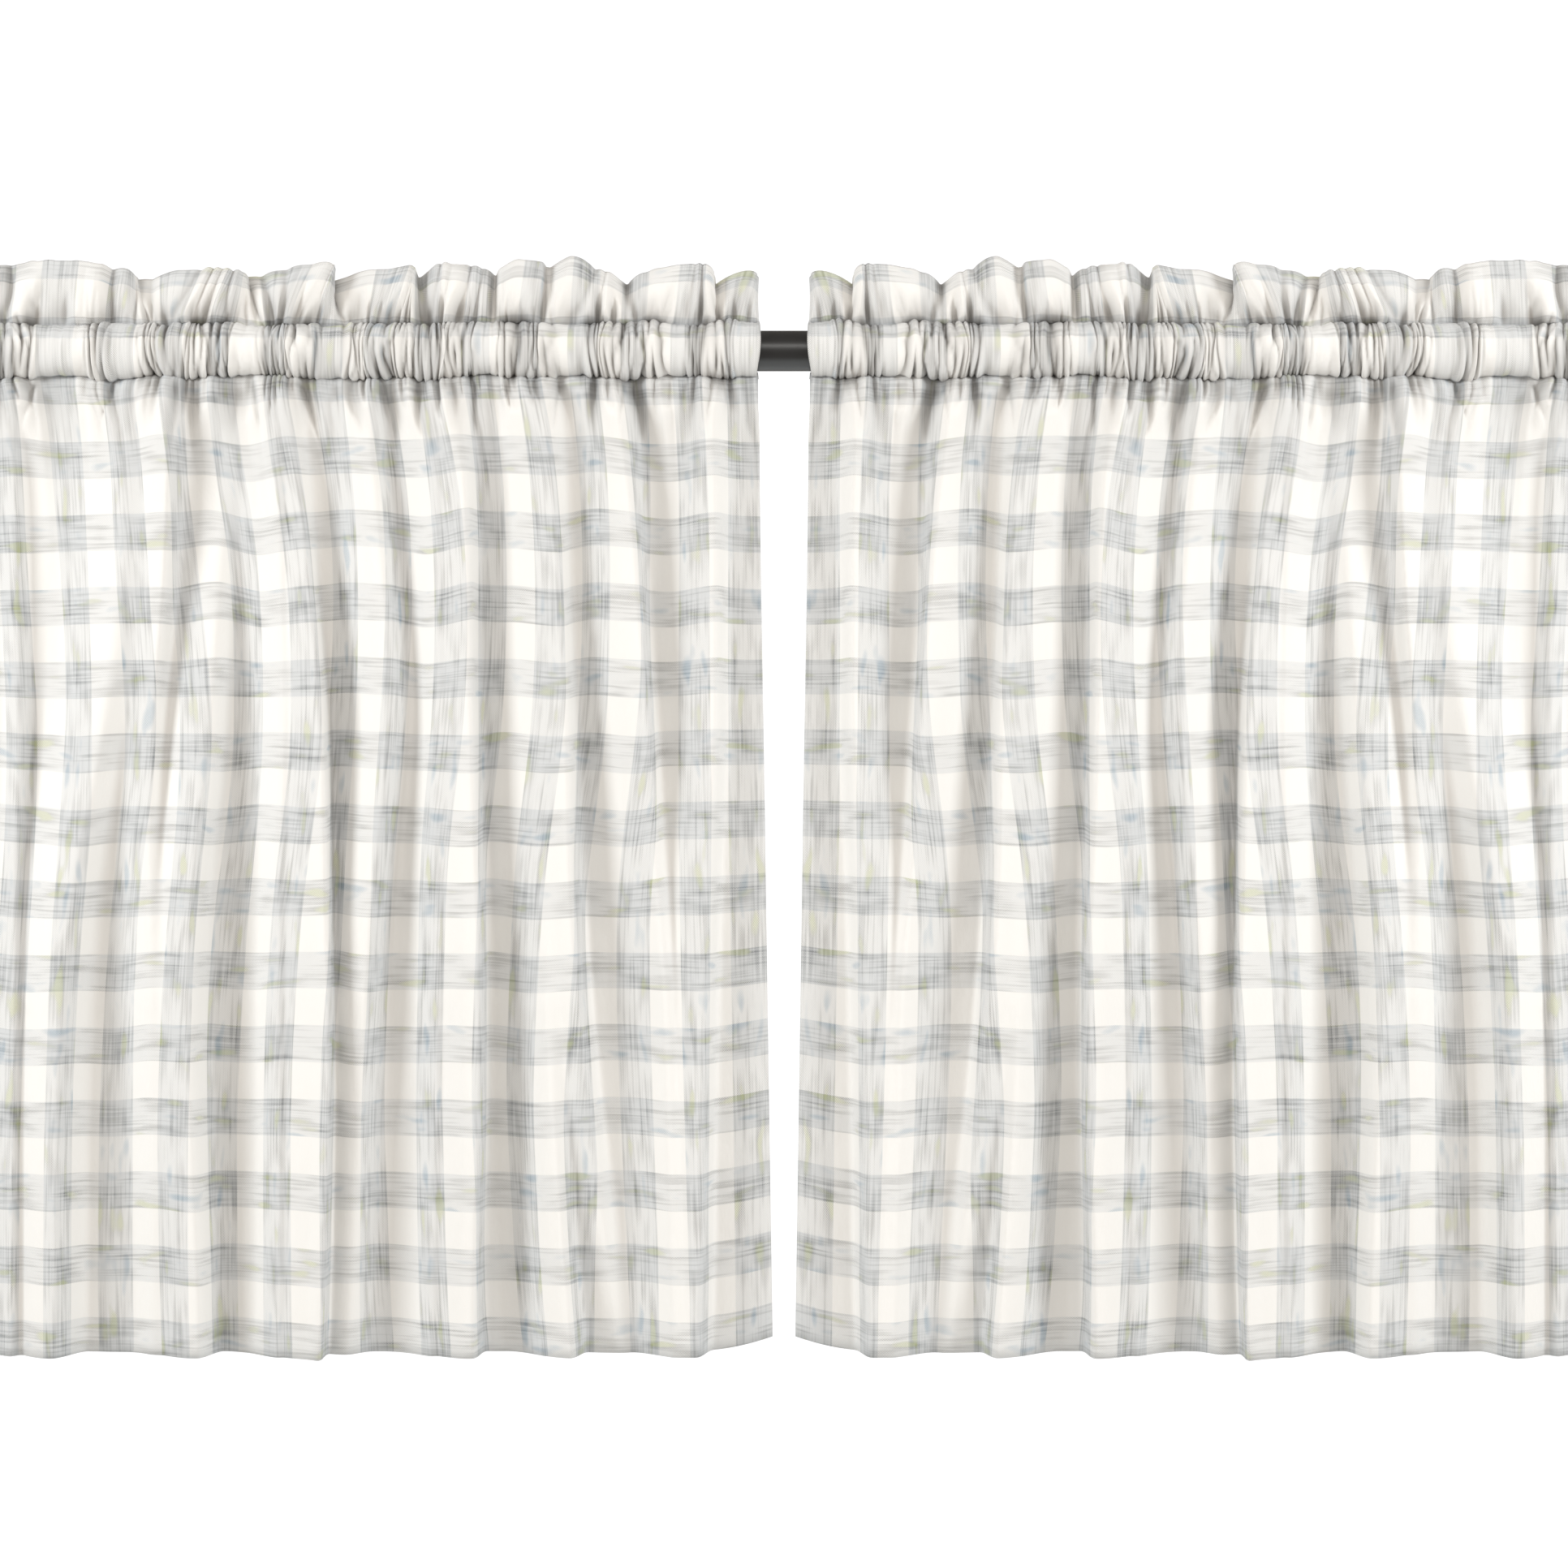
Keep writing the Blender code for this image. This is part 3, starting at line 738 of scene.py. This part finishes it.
def black_powder_coat():
    """Satin black coat on the rod, with a fine grain."""
    material = bpy.data.materials.new("satin black powder coat")
    material.use_nodes = True
    tree = material.node_tree
    shader = tree.nodes["Principled BSDF"]
    place = node(tree, "ShaderNodeTexCoord")
    grain = node(tree, "ShaderNodeTexNoise")
    grain.inputs["Scale"].default_value = 1800.0
    grain.inputs["Detail"].default_value = 3.0
    tree.links.new(place.outputs["Object"], grain.inputs["Vector"])
    cloud = node(tree, "ShaderNodeTexNoise")
    cloud.inputs["Scale"].default_value = 35.0
    tree.links.new(place.outputs["Object"], cloud.inputs["Vector"])
    colour = mixed(tree, cloud.outputs["Fac"], (0.004, 0.004, 0.004, 1.0), (0.009, 0.008, 0.008, 1.0))
    tree.links.new(colour, shader.inputs["Base Color"])
    rough = sums(tree, "MULTIPLY_ADD", grain.outputs["Fac"], GRAIN_ROUGHNESS)
    rough.node.inputs[2].default_value = COAT_ROUGHNESS
    tree.links.new(rough, shader.inputs["Roughness"])
    shader.inputs["Specular IOR Level"].default_value = 1.0
    bump = node(tree, "ShaderNodeBump")
    bump.inputs["Strength"].default_value = 0.12
    bump.inputs["Distance"].default_value = 0.00008
    tree.links.new(grain.outputs["Fac"], bump.inputs["Height"])
    tree.links.new(bump.outputs[0], shader.inputs["Normal"])
    return material


def make_rod(material):
    """The round rod, with the rims of its end faces eased."""
    deselect()
    bpy.ops.mesh.primitive_cylinder_add(vertices=ROD_SIDES, radius=ROD_RADIUS, depth=ROD_LENGTH,
                                        location=(ROD_LENGTH / 2, 0, 0), rotation=(0, math.pi / 2, 0))
    rod = bpy.context.object
    rod.name = "round_rod"
    rod.data.name = "round_rod"
    bpy.ops.object.transform_apply(location=True, rotation=True, scale=True)
    rims = rod.modifiers.new("eased rims", "BEVEL")
    rims.width = ROD_RIM
    rims.segments = 3
    rims.limit_method = "ANGLE"
    bpy.ops.object.modifier_apply(modifier=rims.name)
    bpy.ops.object.shade_smooth_by_angle(angle=math.radians(40))
    rod.data.materials.clear()
    rod.data.materials.append(material)
    return rod


# Camera: square to the curtains, level with the middle of the photograph
VIEW_WIDTH = 1.089
VIEW_DISTANCE = 2.40
VIEW_HEIGHT = -0.3007
FLOOR_LEVEL = -1.75
FLOOR_SIZE = 4.6
FLOOR_BACK = 3.4
FLOOR_COLOUR = (0.86, 0.93, 0.98, 1.0)
BACKDROP = 1.1
SURROUND = 0.77
SURROUND_COLOUR = (1.0, 0.925, 0.845, 1.0)
GLOSS_DIMMING = 0.65
LIGHT_AIM_OUT = 0.33
SIDE_LIGHT_OUT = 1.95
SIDE_LIGHT_FORWARD = 1.30
SIDE_LIGHT_HEIGHT = 0.35
SIDE_LIGHT_SIZE = (0.8, 0.8)
SIDE_LIGHT_POWER = 7.0
TOP_LIGHT_FORWARD = 1.73
TOP_LIGHT_HEIGHT = 0.74
TOP_LIGHT_SIZE = (2.4, 0.28)
TOP_LIGHT_POWER = 10.5
BACK_LIGHT_OUT = 0.6
BACK_LIGHT_DISTANCE = 2.2
BACK_LIGHT_HEIGHT = 0.5
BACK_LIGHT_SIZE = (1.2, 1.2)
BACK_LIGHT_POWER = 10.0


def make_camera():
    data = bpy.data.cameras.new("camera")
    data.sensor_width = 36.0
    data.lens = data.sensor_width * VIEW_DISTANCE / VIEW_WIDTH
    camera = bpy.data.objects.new("camera", data)
    camera.location = (ROD_LENGTH / 2, -VIEW_DISTANCE, VIEW_HEIGHT)
    camera.rotation_euler = (math.pi / 2, 0, 0)
    bpy.context.scene.collection.objects.link(camera)
    bpy.context.scene.camera = camera


def add_softbox(name, place, aim, size, power, colour, spread):
    """A soft light of that width and height, with its beam narrowed as by a grid."""
    data = bpy.data.lights.new(name, "AREA")
    data.shape = "RECTANGLE"
    data.size, data.size_y = size
    data.energy = power
    data.color = colour
    data.spread = math.radians(spread)
    light = bpy.data.objects.new(name, data)
    light.location = place
    light.rotation_euler = (Vector(aim) - Vector(place)).to_track_quat("-Z", "Y").to_euler()
    bpy.context.scene.collection.objects.link(light)


def make_studio():
    """White backdrop, warm even surroundings, soft lights on all sides, and a pale floor far below."""
    world = bpy.data.worlds.new("studio")
    world.use_nodes = True
    tree = world.node_tree
    surround = tree.nodes["Background"]
    surround.inputs["Color"].default_value = SURROUND_COLOUR
    backdrop = node(tree, "ShaderNodeBackground")
    backdrop.inputs["Color"].default_value = (1.0, 1.0, 1.0, 1.0)
    backdrop.inputs["Strength"].default_value = BACKDROP
    seen = node(tree, "ShaderNodeLightPath")
    dimmed = sums(tree, "MULTIPLY_ADD", seen.outputs["Is Glossy Ray"], -GLOSS_DIMMING * SURROUND)
    dimmed.node.inputs[2].default_value = SURROUND
    tree.links.new(dimmed, surround.inputs["Strength"])
    choice = node(tree, "ShaderNodeMixShader")
    tree.links.new(seen.outputs["Is Camera Ray"], choice.inputs[0])
    tree.links.new(surround.outputs[0], choice.inputs[1])
    tree.links.new(backdrop.outputs[0], choice.inputs[2])
    tree.links.new(choice.outputs[0], tree.nodes["World Output"].inputs["Surface"])
    bpy.context.scene.world = world
    for side, name in ((-1, "soft light on the left"), (1, "soft light on the right")):
        middle = ROD_LENGTH / 2 + side * LIGHT_AIM_OUT
        add_softbox(name, (middle + side * SIDE_LIGHT_OUT, -SIDE_LIGHT_FORWARD, SIDE_LIGHT_HEIGHT),
                    (middle, 0, VIEW_HEIGHT), SIDE_LIGHT_SIZE, SIDE_LIGHT_POWER, (0.93, 0.97, 1.0), 75)
        add_softbox(name.replace("soft", "back"),
                    (middle + side * BACK_LIGHT_OUT, BACK_LIGHT_DISTANCE, BACK_LIGHT_HEIGHT),
                    (middle, 0, VIEW_HEIGHT), BACK_LIGHT_SIZE, BACK_LIGHT_POWER, (0.95, 0.98, 1.0), 120)
    add_softbox("strip light above the camera", (ROD_LENGTH / 2, -TOP_LIGHT_FORWARD, TOP_LIGHT_HEIGHT),
                (ROD_LENGTH / 2, 0, 0), TOP_LIGHT_SIZE, TOP_LIGHT_POWER, (1.0, 0.98, 0.95), 180)
    deselect()
    bpy.ops.mesh.primitive_plane_add(size=FLOOR_SIZE, location=(ROD_LENGTH / 2,
                                     FLOOR_BACK - FLOOR_SIZE / 2, FLOOR_LEVEL))
    floor = bpy.context.object
    floor.name = "floor"
    pale = bpy.data.materials.new("pale floor")
    pale.use_nodes = True
    shader = pale.node_tree.nodes["Principled BSDF"]
    shader.inputs["Base Color"].default_value = FLOOR_COLOUR
    shader.inputs["Roughness"].default_value = 1.0
    floor.data.materials.append(pale)


cotton = gingham_cotton()
for name, side in (("left", -1), ("right", 1)):
    for part, grid in (("drop", DROP_GRID), ("header", HEADER_GRID)):
        cloth = make_cloth(f"{part}_{name}", side, grid, cotton)
        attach(cloth, "root")
        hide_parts(f"curtain_{name}")
rod = make_rod(black_powder_coat())
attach(rod, "root")
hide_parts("rod")
make_camera()
make_studio()
bpy.context.scene.view_settings.view_transform = "Standard"
